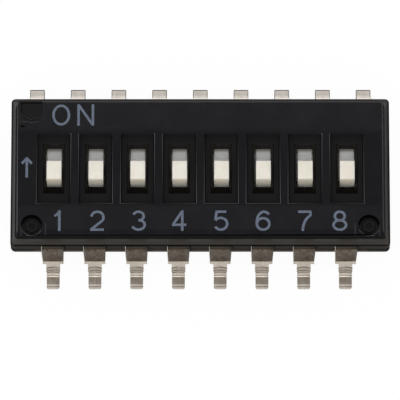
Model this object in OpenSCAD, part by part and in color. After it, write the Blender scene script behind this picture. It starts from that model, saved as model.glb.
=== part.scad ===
// Eight-position slide DIP switch for surface mounting.
// Eight white sliders run front to back in a black two-part housing. Each one carries
// a sprung contact bridge that joins a front terminal to a rear terminal when the
// slider is pushed back to ON. The leads leave at the seam between cover and base,
// drop down the sides and turn outwards as gull-wing feet.
// +X runs from position 1 to position 8, +Y towards the ON side, +Z up.
// The origin is the centre of the footprint on the solder plane.

/* [Pitch and travel] */
// Distance between neighbouring positions
pitch = 2.54; // [2.54:0.01:3.2]
// How much closer together the rear leads stand than the front ones
rear_squeeze = 0.04; // [0:0.01:0.08]
// How far a slider travels from OFF to ON
travel = 1.1; // [0.9:0.05:1.1]

/* [Housing] */
// From the centre of the last position to the end of the housing
end_len = 2.61; // [2.5:0.01:4]
// Depth of the housing, front to back, without the leads
body_d = 9.45; // [9.2:0.05:12]
// Height of the top face above the solder plane
body_h = 3.85; // [3.7:0.05:5]
// Radius of the housing's upright corners
corner_r = 0.3; // [0.1:0.05:0.6]
// Gap under the base
standoff = 0.2; // [0.1:0.05:0.5]

/* [Cover] */
// Height of the raised top above the ledge around it
plateau_rise = 0.66; // [0.4:0.02:0.8]
// Width of the ledge around the raised top
ledge_w = 0.4; // [0.2:0.05:0.6]
// Thickness of the cover's flange
flange_t = 0.19; // [0.12:0.01:0.3]
// Width of the shallow pocket around each slider
pocket_w = 2.03; // [1.6:0.01:2.3]
// How far the pocket runs past the front of the slot
pocket_front = 0.72; // [0.4:0.02:1]
// How far the pocket runs past the rear of the slot
pocket_rear = 0.56; // [0.4:0.02:1]
// Depth of the shallow pocket
pocket_depth = 0.3; // [0.1:0.05:0.4]
// Width of the slot that the knob moves in
slot_w = 1.24; // [1.1:0.02:1.6]
// Room in the slot in front of the knob at OFF
slot_front = 0.81; // [0.4:0.01:0.9]
// Thickness of the roof at the pockets
roof_t = 0.9; // [0.6:0.05:1.1]
// Height of the narrow lip at the foot of the slot
lip_t = 0.1; // [0.05:0.05:0.3]
// Radius of the recess around each staked post
recess_r = 0.65; // [0.5:0.01:0.8]
// Depth of that recess
recess_depth = 0.35; // [0.2:0.05:0.5]
// Width of the shallow mark at the rear left corner
mark_w = 1.3; // [0.8:0.1:1.6]
// Depth of that mark
mark_depth = 0.06; // [0.03:0.01:0.15]

/* [Base] */
// Height of the base's rim under the seam
rim_h = 1.05; // [0.8:0.05:1.3]
// How far the lower part of the base is set in under the rim
lower_in = 0.68; // [0.4:0.02:0.8]
// Thickness of the wall of the lower part
wall_t = 0.55; // [0.4:0.05:0.8]
// Thickness of the floor under the contacts
floor_t = 1.1; // [0.6:0.05:1.3]
// Width of the channel that each slider runs in
channel_w = 1.8; // [1.6:0.02:2]
// Radius of the two staked posts
post_r = 0.385; // [0.25:0.005:0.42]
// From the posts' centres to the front of the housing
post_in_y = 1.085; // [1.05:0.005:1.2]
// Radius of the two blind pegs at the rear
peg_r = 0.3; // [0.2:0.05:0.4]
// From the inside of the rear wall to the pegs' centres
peg_in = 0.9; // [0.6:0.05:1.2]
// Height of the blind pegs
peg_h = 0.5; // [0.3:0.05:0.55]

/* [Slider] */
// Width of the knob
knob_w = 0.92; // [0.7:0.02:0.96]
// Length of the knob
knob_l = 1.22; // [0.9:0.02:1.24]
// How far the knob's centre lies in front of the housing's centre at OFF
knob_back = 0.1; // [0.05:0.01:0.2]
// How far the knob's top lies under the top face
knob_drop = 0.05; // [0:0.01:0.3]
// Thickness of the knob's toe, from the stem's top down
toe_t = 0.12; // [0.05:0.01:0.2]
// Thickness of the carriage's wings
wing_t = 0.35; // [0.25:0.05:0.45]
// Overhang of the knob in front of the carriage
toe_l = 0.46; // [0.3:0.02:0.6]

/* [Contact bridge] */
// Thickness of the bridge strip
bridge_t = 0.08; // [0.05:0.01:0.1]
// Width of the bridge strip
bridge_w = 0.8; // [0.5:0.05:1.2]
// Height from the contact pads to the carriage
bridge_h = 0.45; // [0.4:0.01:0.5]
// Length of the flat middle
bridge_flat = 0.56; // [0.5:0.02:0.6]
// Slope of the bridge's arms in degrees
arm_angle = 45; // [40:1:50]
// Inner radius of the bridge's bends
bridge_r = 0.12; // [0.08:0.01:0.14]
// Radius of the stake that holds the bridge
stake_r = 0.14; // [0.08:0.01:0.16]

/* [Terminals] */
// Thickness of the terminal strip
lead_t = 0.2; // [0.12:0.01:0.24]
// Length of the flat part of a foot
foot_l = 0.72; // [0.4:0.02:1.2]
// Width of the contact pads and risers inside
pad_w = 1.2; // [0.9:0.05:1.3]
// Width of the shoulder where it leaves the housing
shoulder_top_w = 1.4; // [1.2:0.05:1.5]
// Width of the shoulder at the knee
shoulder_w = 1.27; // [1:0.01:1.35]
// Width of the neck below the knee
neck_w = 0.84; // [0.6:0.02:0.95]
// Width of the front feet
front_foot_w = 0.74; // [0.5:0.02:0.84]
// Width of the rear leads outside the housing
rear_lead_w = 0.9; // [0.5:0.02:0.94]
// Height of the knee where a lead turns outwards
knee_z = 0.95; // [0.7:0.05:1.2]
// Slope of the lead between knee and foot in degrees
knee_angle = 45; // [40:1:50]
// Inner radius of the bends at the housing
bend_r = 0.1; // [0.06:0.01:0.14]
// Inner radius of the bends at knee and foot
foot_r = 0.12; // [0.08:0.01:0.2]

/* [Clearances] */
// Gap around a moving slider
slide_gap = 0.05; // [0.03:0.01:0.08]
// Gap between the cover's plug and the base
plug_gap = 0.05; // [0.02:0.01:0.08]
// Gap at each end of a slider's travel
end_gap = 0.07; // [0.04:0.01:0.1]
// Wall between an end channel and the post beside it
post_gap = 0.025; // [0.02:0.005:0.1]
// Gap around posts, pegs and stakes
stake_gap = 0.015; // [0.01:0.005:0.03]
// Gap between a contact bridge and the pads
contact_gap = 0.01; // [0.01:0.005:0.03]
// Gap between a lead and the side of the housing
leg_gap = 0.05; // [0.02:0.01:0.1]

/* [Hidden] */
$fn = 48;
cut = 1; // extra length of a cutting shape past the face it opens

positions = 8;
first_x = -(positions - 1) / 2 * pitch;
body_l = (positions - 1) * pitch + 2 * end_len;
rear_pitch = pitch - rear_squeeze; // the nine rear leads stand between the front ones

// Levels, from the top down
ledge_z = body_h - plateau_rise;
seam_z = ledge_z - flange_t;
pocket_z = body_h - pocket_depth;
roof_z = pocket_z - roof_t;
rim_z = seam_z - rim_h;
floor_z = standoff + floor_t;
carriage_z = floor_z + bridge_h;
wing_z = carriage_z + wing_t;
rail_z = wing_z + slide_gap;
stem_z = roof_z - 2 * slide_gap;
toe_z = stem_z - toe_t;
stop_z = toe_z - slide_gap;
knob_z = body_h - knob_drop;
rib_z = roof_z - plug_gap;

// Depths, measured from the centre line
inner_d = body_d / 2 - lower_in - wall_t; // inside face of the front and rear walls
riser_d = inner_d - lead_t; // cavity side of the risers
plug_d = riser_d - 2 * plug_gap;
leg_d = body_d / 2 + leg_gap; // housing side of the leads
lead_z = seam_z - lead_t; // underside of the strips in the seam
bend_z = lead_z - bend_r; // centre height of the two bends at the seam
seam_end = 0.06; // square ends of the strip in the seam

// Slider at OFF. At ON the knob nears the slot's rear end and the carriage the risers.
knob_front = -knob_back - knob_l / 2;
knob_rear = knob_front + knob_l;
carriage_front = knob_front + toe_l;
carriage_rear = riser_d - end_gap - travel;
bridge_y = (carriage_front + carriage_rear) / 2;
wing_w = channel_w - 2 * slide_gap;
guide_w = knob_w + 2 * slide_gap;
rail_w = (channel_w - guide_w) / 2 - plug_gap;
slot_y0 = knob_front - slot_front;
slot_y1 = knob_rear + travel + end_gap;
stop_y = carriage_front - slide_gap;

// Gull wing: how far the strip slopes outwards, and where its flat foot starts
slope_l = (knee_z - foot_r - lead_t) / cos(knee_angle);
foot_d = leg_d + foot_r + lead_t + slope_l * sin(knee_angle);
ear_l = 0.12; // the shoulder's full width runs this far past the knee
neck_l = 0.52;
anchor_l = 0.8;
anchor_w = 0.5;

// Bridge: the arms reach from the carriage down to the pads
bend_drop = (2 * bridge_r + bridge_t) * (1 - cos(arm_angle));
bend_run = (2 * bridge_r + bridge_t) * sin(arm_angle);
arm_l = (bridge_h - bridge_t - contact_gap - bend_drop) / sin(arm_angle);
bridge_span = bridge_flat + 2 * (bend_run + arm_l * cos(arm_angle));
stake_h = bridge_t + 0.06;

// Pads: the rear contact point rests between them at OFF and on the rear pad at ON
rear_contact_y = bridge_y + bridge_span / 2;
pad_clear = 0.3;
pad_overlap = 0.45;
front_pad_y = rear_contact_y - pad_clear;
rear_pad_y = rear_contact_y + travel - pad_overlap;

channel_end = -first_x + channel_w / 2; // outer face of the end channels
post_x = channel_end + post_gap + post_r;
post_y = -(body_d / 2 - post_in_y);
stake_head = 0.08; // how far a staked post stands up in its recess
post_top = body_h - recess_depth + stake_head;
peg_x = post_x + 0.2;
peg_y = inner_d - peg_in;
plateau_r = max(corner_r - ledge_w / 2, 0.12);

plastic_top = [0.13, 0.13, 0.14];
plastic_base = [0.2, 0.2, 0.2];
plastic_white = [0.9, 0.88, 0.84];
tin = [0.74, 0.7, 0.65];
gold = [0.85, 0.68, 0.32];

// Strip segments for run()
STRAIGHT = 0;
UP = 1;
DOWN = -1;

function position_x(n) = first_x + (n - 1) * pitch;

function rear_x(n) = (n - (positions + 2) / 2) * rear_pitch;

// How far rear lead n stands to the left of its pad
function rear_jog(n) = position_x(n) - rear_x(n);

// ---- Shared shapes ----

// Block with rounded upright corners between two levels
module slab(l, d, r, z0, z1) {
    translate([0, 0, z0]) linear_extrude(z1 - z0) {
        square([l - 2 * r, d], center = true);
        square([l, d - 2 * r], center = true);
        for (x = [-1, 1], y = [-1, 1])
            translate([x * (l / 2 - r), y * (d / 2 - r)]) circle(r);
    }
}

// Block from corner to corner
module box(low, high) {
    translate(low) cube(high - low);
}

// Part of a ring between two angles, up to a quarter turn
module sector(r0, r1, a0, a1) {
    reach = 2 * r1;
    middle = (a0 + a1) / 2;
    intersection() {
        difference() {
            circle(r1);
            circle(r0);
        }
        polygon([[0, 0], reach * [cos(a0), sin(a0)],
            reach * [cos(middle), sin(middle)], reach * [cos(a1), sin(a1)]]);
    }
}

// Bent strip that starts at the origin and heads along +X with its thickness upwards.
// A straight is [STRAIGHT, length, width at its start, width at its end],
// a bend is [UP or DOWN, angle, inner radius, width].
module run(steps, t, i = 0) {
    if (i < len(steps)) {
        s = steps[i];
        if (s[0] == STRAIGHT) {
            linear_extrude(t)
                polygon([[0, -s[2] / 2], [s[1], -s[3] / 2], [s[1], s[3] / 2], [0, s[2] / 2]]);
            translate([s[1], 0, 0]) run(steps, t, i + 1);
        } else {
            centre = s[0] == UP ? t + s[2] : -s[2];
            start = s[0] == UP ? -90 : 90 - s[1];
            translate([0, 0, centre]) {
                rotate([90, 0, 0]) linear_extrude(s[3], center = true)
                    sector(s[2], s[2] + t, start, start + s[1]);
                rotate([0, -s[0] * s[1], 0]) translate([0, 0, -centre]) run(steps, t, i + 1);
            }
        }
    }
}

// ---- Terminals, drawn with local +X pointing out of the housing ----

module outwards(side) {
    rotate([0, 0, side * 90]) children();
}

// Pad on the floor, riser up the inside of the wall and the bend into the seam
module inner_strip(pad_start) {
    translate([pad_start, 0, floor_z - lead_t]) run([
        [STRAIGHT, riser_d - bend_r - pad_start, pad_w, pad_w],
        [UP, 90, bend_r, pad_w],
        [STRAIGHT, bend_z - floor_z - bend_r, pad_w, pad_w],
        [DOWN, 90, bend_r, pad_w]], lead_t);
}

// Strip across the top of the rim, shifted sideways by jog between two short square ends
module seam_strip(start_w, end_w, jog, h = lead_t) {
    start = inner_d + bend_r;
    end = leg_d - bend_r;
    translate([0, 0, lead_z]) linear_extrude(h) polygon([
        [start, -start_w / 2], [start + seam_end, -start_w / 2],
        [end - seam_end, jog - end_w / 2], [end, jog - end_w / 2],
        [end, jog + end_w / 2], [end - seam_end, jog + end_w / 2],
        [start + seam_end, start_w / 2], [start, start_w / 2]]);
}

// Shoulder, knee, neck and foot outside the housing, with the width of each
module gull_wing(top_w, knee_w, middle_w, foot_w) {
    translate([leg_d - bend_r, 0, lead_z]) run([
        [DOWN, 90, bend_r, top_w],
        [STRAIGHT, bend_z - knee_z, top_w, knee_w],
        [UP, knee_angle, foot_r, knee_w],
        [STRAIGHT, ear_l, knee_w, knee_w],
        [STRAIGHT, neck_l, middle_w, middle_w],
        [STRAIGHT, slope_l - ear_l - neck_l, foot_w, foot_w],
        [UP, 90 - knee_angle, foot_r, foot_w],
        [STRAIGHT, foot_l, foot_w, foot_w]], lead_t);
}

module front_wing() {
    gull_wing(shoulder_top_w, shoulder_w, neck_w, front_foot_w);
}

// A rear lead keeps one width from the housing to its foot
module rear_wing() {
    gull_wing(rear_lead_w, rear_lead_w, rear_lead_w, rear_lead_w);
}

module front_terminal(n) {
    color(tin) translate([position_x(n), 0, 0]) outwards(-1) {
        inner_strip(-front_pad_y);
        seam_strip(pad_w, shoulder_top_w, 0);
        front_wing();
    }
}

// The leads at the rear stand about half a pitch to the left of their pads
module rear_terminal(n) {
    color(tin) translate([position_x(n), 0, 0]) outwards(1) {
        inner_strip(rear_pad_y);
        seam_strip(pad_w, rear_lead_w, rear_jog(n));
        translate([0, rear_jog(n), 0]) rear_wing();
    }
}

// The ninth rear lead has no pad: its short stub only anchors it in the base
module anchor_terminal() {
    color(tin) translate([rear_x(positions + 1), 0, 0]) outwards(1) {
        translate([inner_d, 0, bend_z - anchor_l]) rotate([0, -90, 0]) run([
            [STRAIGHT, anchor_l, anchor_w, anchor_w],
            [DOWN, 90, bend_r, anchor_w]], lead_t);
        seam_strip(anchor_w, rear_lead_w, 0);
        rear_wing();
    }
}

// ---- Housing ----

module cover() {
    color(plastic_top) difference() {
        union() {
            slab(body_l, body_d, corner_r, seam_z, ledge_z);
            slab(body_l - 2 * ledge_w, body_d - 2 * ledge_w, plateau_r, seam_z, body_h);
            box([-channel_end + plug_gap, -plug_d, roof_z],
                [channel_end - plug_gap, plug_d, ledge_z]);
            for (n = [1:positions]) translate([position_x(n), 0, 0]) {
                guide_rails();
                stop_block();
            }
        }
        for (n = [1:positions]) translate([position_x(n), 0, 0]) slider_opening();
        for (side = [-1, 1]) {
            translate([side * post_x, post_y, seam_z - cut])
                cylinder(r = post_r + stake_gap, h = body_h);
            translate([side * post_x, post_y, body_h - recess_depth])
                cylinder(r = recess_r, h = recess_depth + cut);
            translate([side * peg_x, peg_y, seam_z - cut])
                cylinder(r = peg_r + stake_gap, h = peg_h + stake_gap + cut);
        }
        corner_mark();
    }
}

// Two rails under the roof hold the wings of a slider down
module guide_rails() {
    for (side = [-1, 1]) translate([side * (guide_w + rail_w) / 2, 0, 0])
        box([-rail_w / 2, carriage_front, rail_z], [rail_w / 2, plug_d, roof_z + lip_t]);
}

// Block that closes the slot in front of the knob and stops the slider at OFF
module stop_block() {
    box([-channel_w / 2 + plug_gap, slot_y0, floor_z + plug_gap],
        [channel_w / 2 - plug_gap, stop_y, roof_z + lip_t]);
}

// Pocket, slot, and the narrow lip at the foot of the slot that guides the knob
module slider_opening() {
    box([-pocket_w / 2, slot_y0 - pocket_front, pocket_z],
        [pocket_w / 2, slot_y1 + pocket_rear, body_h + cut]);
    box([-slot_w / 2, slot_y0, roof_z + lip_t], [slot_w / 2, slot_y1, pocket_z + cut]);
    box([-guide_w / 2, slot_y0, stop_z], [guide_w / 2, slot_y1, pocket_z]);
}

// Shallow mark with a round front end, open to the rear edge
module corner_mark() {
    mark_x = -(body_l / 2 - ledge_w - mark_w / 2 - 0.2);
    mark_y = body_d / 2 - ledge_w - mark_w / 2;
    translate([mark_x, mark_y, body_h - mark_depth]) {
        cylinder(d = mark_w, h = mark_depth + cut);
        box([-mark_w / 2, 0, 0], [mark_w / 2, mark_w, mark_depth + cut]);
    }
}

module base() {
    color(plastic_base) difference() {
        union() {
            slab(body_l, body_d, corner_r, rim_z, seam_z);
            slab(body_l - 2 * lower_in, body_d - 2 * lower_in, corner_r, standoff, seam_z);
            for (side = [-1, 1]) {
                translate([side * post_x, post_y, rim_z]) cylinder(r = post_r, h = post_top - rim_z);
                translate([side * peg_x, peg_y, rim_z]) cylinder(r = peg_r, h = seam_z + peg_h - rim_z);
            }
        }
        // Room for the cover's plug over the ribs between the channels
        box([-channel_end, -inner_d, rib_z], [channel_end, inner_d, seam_z + cut]);
        for (n = [1:positions]) translate([position_x(n), 0, 0]) {
            box([-channel_w / 2, -inner_d, floor_z], [channel_w / 2, inner_d, seam_z]);
            outwards(-1) {
                pad_recess(-front_pad_y);
                rim_seat(pad_w, shoulder_top_w, 0);
            }
            outwards(1) {
                pad_recess(rear_pad_y);
                rim_seat(pad_w, rear_lead_w, rear_jog(n));
            }
        }
        translate([rear_x(positions + 1), 0, 0]) outwards(1) {
            box([riser_d, -anchor_w / 2, bend_z - anchor_l], [inner_d, anchor_w / 2, seam_z]);
            rim_seat(anchor_w, rear_lead_w, 0);
        }
    }
}

// Recess that lets a pad into the floor, square under the bend of its riser
module pad_recess(pad_start) {
    box([pad_start, -pad_w / 2, floor_z - lead_t], [inner_d, pad_w / 2, floor_z + cut]);
}

// Groove for a strip across the rim, cut square round the bends at its two ends
module rim_seat(start_w, end_w, jog) {
    box([riser_d, -start_w / 2, bend_z], [inner_d + bend_r, start_w / 2, seam_z + cut]);
    seam_strip(start_w, end_w, jog, lead_t + cut);
    box([leg_d - bend_r, jog - end_w / 2, bend_z], [leg_d, jog + end_w / 2, seam_z + cut]);
}

// ---- Moving pieces ----

module slider(n) {
    color(plastic_white) translate([position_x(n), 0, 0]) {
        box([-knob_w / 2, knob_front, toe_z], [knob_w / 2, knob_rear, knob_z]);
        box([-knob_w / 2, carriage_front, carriage_z], [knob_w / 2, carriage_rear, stem_z]);
        box([-wing_w / 2, carriage_front, carriage_z], [wing_w / 2, carriage_rear, wing_z]);
        translate([0, bridge_y, carriage_z - stake_h]) cylinder(r = stake_r, h = stake_h + wing_t / 2);
    }
}

// Bowed strip with a flat middle and two turned-up ends, seen here along its length
module contact_bridge(n) {
    half = [
        [STRAIGHT, bridge_flat / 2, bridge_w, bridge_w],
        [DOWN, arm_angle, bridge_r, bridge_w],
        [STRAIGHT, arm_l, bridge_w, bridge_w],
        [UP, 2 * arm_angle, bridge_r, bridge_w],
        [STRAIGHT, bridge_t, bridge_w, bridge_w]];
    color(gold) translate([position_x(n), bridge_y, carriage_z - bridge_t]) difference() {
        for (side = [-1, 1]) outwards(side) run(half, bridge_t);
        translate([0, 0, -cut]) cylinder(r = stake_r + stake_gap, h = 2 * cut);
    }
}

cover();
base();
slider(1);  // slider_1
slider(2);  // slider_2
slider(3);  // slider_3
slider(4);  // slider_4
slider(5);  // slider_5
slider(6);  // slider_6
slider(7);  // slider_7
slider(8);  // slider_8
contact_bridge(1);  // contact_bridge_1
contact_bridge(2);  // contact_bridge_2
contact_bridge(3);  // contact_bridge_3
contact_bridge(4);  // contact_bridge_4
contact_bridge(5);  // contact_bridge_5
contact_bridge(6);  // contact_bridge_6
contact_bridge(7);  // contact_bridge_7
contact_bridge(8);  // contact_bridge_8
front_terminal(1);  // front_terminal_1
front_terminal(2);  // front_terminal_2
front_terminal(3);  // front_terminal_3
front_terminal(4);  // front_terminal_4
front_terminal(5);  // front_terminal_5
front_terminal(6);  // front_terminal_6
front_terminal(7);  // front_terminal_7
front_terminal(8);  // front_terminal_8
rear_terminal(1);  // rear_terminal_1
rear_terminal(2);  // rear_terminal_2
rear_terminal(3);  // rear_terminal_3
rear_terminal(4);  // rear_terminal_4
rear_terminal(5);  // rear_terminal_5
rear_terminal(6);  // rear_terminal_6
rear_terminal(7);  // rear_terminal_7
rear_terminal(8);  // rear_terminal_8
anchor_terminal();  // rear_terminal_9
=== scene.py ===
# %% [markdown]
# # An eight-way DIP switch
#
# This small part sets eight options on a circuit board. A black cover and a black base are
# staked together round a row of white sliders, and tinned leads in the shape of a gull's
# wing carry it on the board. Each slider pushes a little gilt bridge from one pad to the
# next. We dress the engineer's model here: it already has every size and every place, so
# each piece only has to be shaped as the moulder and the press tool would leave it.

# %% Load the engineer's model
import bmesh
import bpy
import math
from contextlib import contextmanager
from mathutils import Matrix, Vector


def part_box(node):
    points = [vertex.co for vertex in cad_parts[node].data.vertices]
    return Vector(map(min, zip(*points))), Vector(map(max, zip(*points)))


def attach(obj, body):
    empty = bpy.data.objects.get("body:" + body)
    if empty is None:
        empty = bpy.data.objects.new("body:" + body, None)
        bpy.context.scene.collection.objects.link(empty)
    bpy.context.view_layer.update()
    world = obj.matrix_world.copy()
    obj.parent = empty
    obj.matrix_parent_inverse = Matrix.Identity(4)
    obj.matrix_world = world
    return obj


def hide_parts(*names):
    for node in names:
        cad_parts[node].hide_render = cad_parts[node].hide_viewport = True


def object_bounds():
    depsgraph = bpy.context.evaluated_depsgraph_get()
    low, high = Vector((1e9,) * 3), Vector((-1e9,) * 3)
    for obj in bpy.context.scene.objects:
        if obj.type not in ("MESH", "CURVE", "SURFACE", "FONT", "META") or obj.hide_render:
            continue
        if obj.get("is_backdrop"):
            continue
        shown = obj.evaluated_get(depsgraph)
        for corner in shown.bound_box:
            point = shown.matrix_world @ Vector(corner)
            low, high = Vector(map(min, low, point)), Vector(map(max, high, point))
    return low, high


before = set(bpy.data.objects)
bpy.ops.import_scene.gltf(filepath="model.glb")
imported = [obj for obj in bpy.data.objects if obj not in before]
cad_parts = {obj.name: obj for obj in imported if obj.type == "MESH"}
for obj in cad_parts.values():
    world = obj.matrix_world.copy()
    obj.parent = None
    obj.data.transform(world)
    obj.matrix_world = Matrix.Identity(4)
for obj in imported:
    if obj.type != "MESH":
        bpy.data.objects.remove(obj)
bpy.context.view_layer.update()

# %% [markdown]
# ## Sizes
#
# The part is only 23 mm long, and Blender works in metres, so all sizes below are written in
# millimetres and multiplied by MM at the moment they are used. The sliders and the front
# leads stand 2.54 mm apart, and nearly everything else repeats at that pitch; the rear leads
# stand a little closer.

# %% Sizes that the pieces share, in millimetres
MM = 0.001
PITCH, REAR_PITCH = 2.54, 2.5
SWITCHES, REAR_LEADS = range(1, 9), range(1, 10)
ROW_LEFT = len(SWITCHES) / 2 * PITCH  # from the middle of the part to the left end of a row
REAR_LEFT = len(REAR_LEADS) / 2 * REAR_PITCH
FRONT_SHIFT = -0.06  # the front leads stand a little to the left of their sliders
LENGTH, DEPTH, TOP = 23.0, 9.45, 3.85
LEDGE_W, LEDGE_Z, SEAM_Z, RIM_Z = 0.4, 3.19, 3.0, 1.95
GROOVE_Z = (2.42, 2.52)  # a fine groove round the rim of the base
INK = 0.005  # thickness of the print, so the moulded top lies this much lower
FACE_Z = TOP - INK
MARK_R, MARK_GAP = 0.65, 0.2  # the corner mark, a D whose round side is in front
MARK_X = -(LENGTH / 2 - LEDGE_W - MARK_R - MARK_GAP)
MARK_Y = DEPTH / 2 - LEDGE_W - MARK_R
POCKET_W, POCKET_Y = 2.03, (-2.24, 2.24)
SLOT_W, SLOT_Y = 1.24, (-1.52, 1.68)
KNOB_X, KNOB_Y, KNOB_Z = 0.45, (-0.71, 0.51), 3.80  # half its width, its two ends, its top
STEM_Z = 2.55  # the low plate behind a knob
POST_X, POST_Y = 10.2, -3.64  # the two posts of the base that the cover is staked to
RECESS_R = 0.65  # the round recess about each post
INNER_D = 3.495  # from the middle to the inside of the front and rear walls
LEAD_T = 0.2
KNEE_Z = 0.95  # where a lead turns from the wall towards the board
LEG_D = DEPTH / 2 + 0.05  # from the middle to the upright legs of the leads, just off the walls


def switch_x(n):
    return (n - (len(SWITCHES) + 1) / 2) * PITCH


def rear_x(n):
    return (n - (len(REAR_LEADS) + 1) / 2) * REAR_PITCH


FIRST_X = switch_x(1)

for name in ("cover", "base", "slider_1", "front_terminal_1"):
    low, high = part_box(name)
    print(name, [round(v / MM, 3) for v in low], "to", [round(v / MM, 3) for v in high])

# %% [markdown]
# ## A few hand tools
#
# Modelling by hand is mostly the same four moves: put down a primitive, pick some of its
# faces or edges, and extrude, inset, bevel or cut. An operator acts on whatever is selected,
# and the model that we loaded is still selected, so every tool here starts by letting go of
# everything. Picking is done by asking each face or edge where it is and which way it looks.

# %% Put down a primitive
def only(obj):
    """Select one object and let go of everything else."""
    bpy.ops.object.select_all(action="DESELECT")
    obj.select_set(True)
    bpy.context.view_layer.objects.active = obj


def settle():
    """Put an object's place into its mesh, so that the object sits at the origin."""
    bpy.ops.object.transform_apply(location=True, rotation=True, scale=True)


def block(name, low, high):
    """A cube primitive, stretched from one corner to the other."""
    bpy.ops.object.select_all(action="DESELECT")
    middle = [(a + b) / 2 * MM for a, b in zip(low, high)]
    bpy.ops.mesh.primitive_cube_add(size=1, location=middle)
    obj = bpy.context.object
    obj.name = obj.data.name = name
    bpy.ops.transform.resize(value=[(b - a) * MM for a, b in zip(low, high)])
    settle()
    return obj


def rod(name, x, y, radius, low, high, sides=48):
    """An upright cylinder primitive between two heights."""
    bpy.ops.object.select_all(action="DESELECT")
    bpy.ops.mesh.primitive_cylinder_add(
        vertices=sides, radius=radius * MM, depth=(high - low) * MM,
        location=(x * MM, y * MM, (low + high) / 2 * MM))
    obj = bpy.context.object
    obj.name = obj.data.name = name
    settle()
    return obj


# %% Pick faces and edges, and work on them
@contextmanager
def editing(obj):
    """Work on one object in edit mode."""
    only(obj)
    bpy.ops.object.mode_set(mode="EDIT")
    bpy.ops.mesh.select_mode(type="FACE")
    yield
    bpy.ops.object.mode_set(mode="OBJECT")


def pick(obj, kind, test):
    """Select the faces or edges that pass a test, and count them."""
    bpy.ops.mesh.select_mode(type=kind)
    bpy.ops.mesh.select_all(action="DESELECT")
    mesh = bmesh.from_edit_mesh(obj.data)
    found = [part for part in (mesh.faces if kind == "FACE" else mesh.edges) if test(part)]
    for part in found:
        part.select_set(True)
    bmesh.update_edit_mesh(obj.data)
    return len(found)


def pick_faces(obj, test):
    """Select the faces whose centre, in millimetres, and normal pass the test."""
    return pick(obj, "FACE", lambda face: test(face.calc_center_bounds() / MM, face.normal))


def pick_edges(obj, test, least_angle=30):
    """Select the edges that are sharper than an angle and whose two ends pass the test."""
    sharp = lambda edge: edge.is_manifold and edge.calc_face_angle() > math.radians(least_angle)
    return pick(obj, "EDGE", lambda edge: sharp(edge) and test(*(v.co / MM for v in edge.verts)))


RIM = "rim"  # an attribute of faces: how bright a painted highlight on a rounded rim is, or SHADED for painted shade
SHADED = -1.0


def extrude(x=0, y=0, z=0):
    """Pull the selected faces out by so many millimetres each way."""
    bpy.ops.mesh.extrude_region_move(
        TRANSFORM_OT_translate={"value": (x * MM, y * MM, z * MM)})


def bevel(width, steps=2, rim=0.0):
    """Round the selected edges, and note on the new faces how bright their painted highlight is, or SHADED
    for painted shade.
    """
    bpy.ops.mesh.bevel(offset=width * MM, segments=steps, affect="EDGES",
                       offset_type="OFFSET", profile=0.5)
    if rim:
        data = bpy.context.edit_object.data
        mesh = bmesh.from_edit_mesh(data)
        note = mesh.faces.layers.float.get(RIM) or mesh.faces.layers.float.new(RIM)
        for face in mesh.faces:
            if face.select:
                face[note] = rim
        bmesh.update_edit_mesh(data)


def slice_at(x=None, y=None, z=None):
    """Cut the selected faces along an upright or level plane."""
    point = [v * MM if v is not None else 0 for v in (x, y, z)]
    across = [1.0 if v is not None else 0.0 for v in (x, y, z)]
    bpy.ops.mesh.bisect(plane_co=point, plane_no=across, threshold=1e-7)


def slice_all_at(**plane):
    bpy.ops.mesh.select_all(action="SELECT")
    slice_at(**plane)


def near(a, b, slack=0.004):
    return abs(a - b) < slack


def level(a, b, z):
    """Are both ends of an edge at a height?"""
    return near(a.z, z) and near(b.z, z)


# %% Join, cut and repeat whole pieces
def modify(obj, name, kind, **settings):
    """Add a modifier, set it and apply it."""
    only(obj)
    step = obj.modifiers.new(name, kind)
    for key, value in settings.items():
        setattr(step, key, value)
    bpy.ops.object.modifier_apply(modifier=step.name)
    return obj


def combine(obj, tool, how):
    """Unite the piece with a tool, or cut the tool out of it, and throw the tool away."""
    modify(obj, how, "BOOLEAN", operation=how, object=tool, solver="EXACT")
    bpy.data.objects.remove(tool)
    return obj


def in_row(obj):
    """Repeat a tool for every switch."""
    return modify(obj, "row", "ARRAY", count=len(SWITCHES), use_relative_offset=False,
                  use_constant_offset=True, constant_offset_displace=(PITCH * MM, 0, 0))


def mirror_x(obj):
    """Add the same tool at the other end of the part."""
    return modify(obj, "other end", "MIRROR", use_mirror_merge=False)


def copy_to(obj, name, x):
    """A copy with a mesh of its own, moved in the mesh so that its object stays put."""
    twin = obj.copy()
    twin.data = obj.data.copy()
    twin.name = twin.data.name = name
    bpy.context.collection.objects.link(twin)
    only(twin)
    twin.location.x = x * MM
    settle()
    return twin


def shade(obj, angle=35):
    """Smooth the rounded edges and keep the broad faces flat."""
    only(obj)
    bpy.ops.object.shade_smooth_by_angle(angle=math.radians(angle))
    modify(obj, "flat faces", "WEIGHTED_NORMAL", keep_sharp=True)


def report(obj):
    """Print how many faces a piece has and its size."""
    spans = [[corner[i] for corner in obj.bound_box] for i in range(3)]
    size = [round((max(span) - min(span)) / MM, 3) for span in spans]
    print(f"{obj.name}: {len(obj.data.polygons)} faces, {size} mm")

# %% [markdown]
# ## Camera and light
#
# Seen close by, a small part looks tapered. A long lens from a long way off shows the far
# leads nearly as big as the near ones. The camera stands 420 mm away, 70.3 degrees above the
# board, and aims a little in front of the middle. Three broad soft lamps and an even grey
# world give light at a level where a colour renders about as written.

# %% Camera
ELEVATION, DISTANCE = math.radians(70.3), 420
aim = Vector((-0.018, -2.05, TOP)) * MM
back = Vector((0, -math.cos(ELEVATION), math.sin(ELEVATION)))
bpy.ops.object.camera_add(location=aim + back * DISTANCE * MM)
camera = bpy.context.object
camera.rotation_euler = (math.pi / 2 - ELEVATION, 0, 0)
FRAME_W = 24.213  # how many millimetres the frame takes in at the top of the part
camera.data.lens = DISTANCE / FRAME_W * camera.data.sensor_width
camera.data.clip_start, camera.data.clip_end = 0.005, 5
bpy.context.scene.camera = camera
print("lens, mm:", round(camera.data.lens, 1))

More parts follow.
